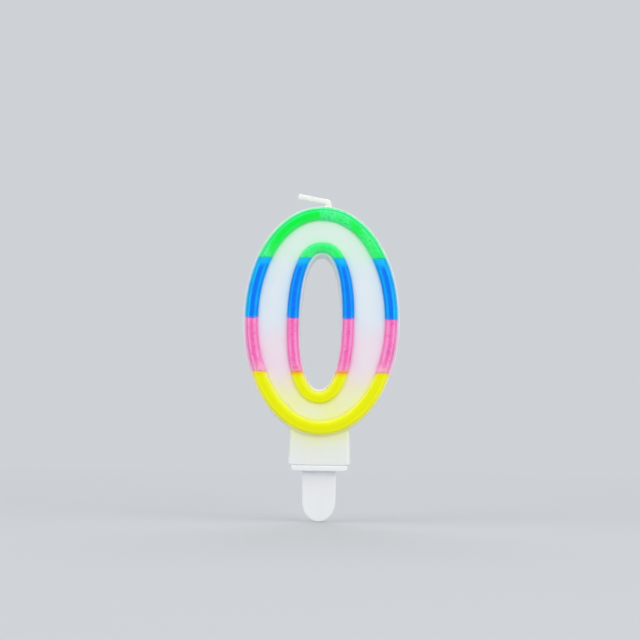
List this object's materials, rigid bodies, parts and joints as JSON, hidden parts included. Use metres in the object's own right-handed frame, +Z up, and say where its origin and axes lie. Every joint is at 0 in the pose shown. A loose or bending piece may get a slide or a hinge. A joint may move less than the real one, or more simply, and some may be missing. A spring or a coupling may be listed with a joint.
{
  "type": "number candle",
  "caption": "Number candle in the form of a nought: white wax ring with raised coloured rims, a folded wick, and a plastic pick in its foot that pushes into a cake.",
  "frame": {"origin": "middle of the underside of the pick's collar, the face that lies on the top of the cake", "axes": "+Z up, along the digit's height and out of the cake; -Y towards the front, where the coloured rims stand proud; +X to the right as seen from the front"},
  "size_m": [0.046, 0.0106, 0.0949],
  "materials": {
    "white_wax": "translucent paraffin wax, satin",
    "green_wax": "dyed paraffin wax, frosted in places",
    "blue_wax": "dyed paraffin wax, satin",
    "pink_wax": "dyed paraffin wax, finely pitted",
    "yellow_wax": "dyed paraffin wax, smooth and glossy",
    "wick_cotton": "braided cotton, coated with white wax",
    "white_plastic": "injection-moulded, satin gloss"
  },
  "bodies": {
    "pick": {"pick": "white_plastic"},
    "candle": {"wax_body": "white_wax", "outer_rim_green": "green_wax", "outer_rim_blue_left": "blue_wax", "outer_rim_blue_right": "blue_wax", "outer_rim_pink_left": "pink_wax", "outer_rim_pink_right": "pink_wax", "outer_rim_yellow": "yellow_wax", "inner_rim_green": "green_wax", "inner_rim_blue_left": "blue_wax", "inner_rim_blue_right": "blue_wax", "inner_rim_pink_left": "pink_wax", "inner_rim_pink_right": "pink_wax", "inner_rim_yellow": "yellow_wax", "wick_stem": "wick_cotton"},
    "wick_tip": {"wick_tip": "wick_cotton"}
  },
  "joints": [
    {"name": "pick_pull", "type": "slide", "parent": "pick", "child": "candle", "axis": [0, 0, 1], "range_m": [0, 0.007]},
    {"name": "wick_bend", "type": "hinge", "parent": "candle", "child": "wick_tip", "pos_m": [0.0016, -0.00055, 0.07775], "axis": [0, 1, 0], "range_deg": [0, 79]}
  ]
}
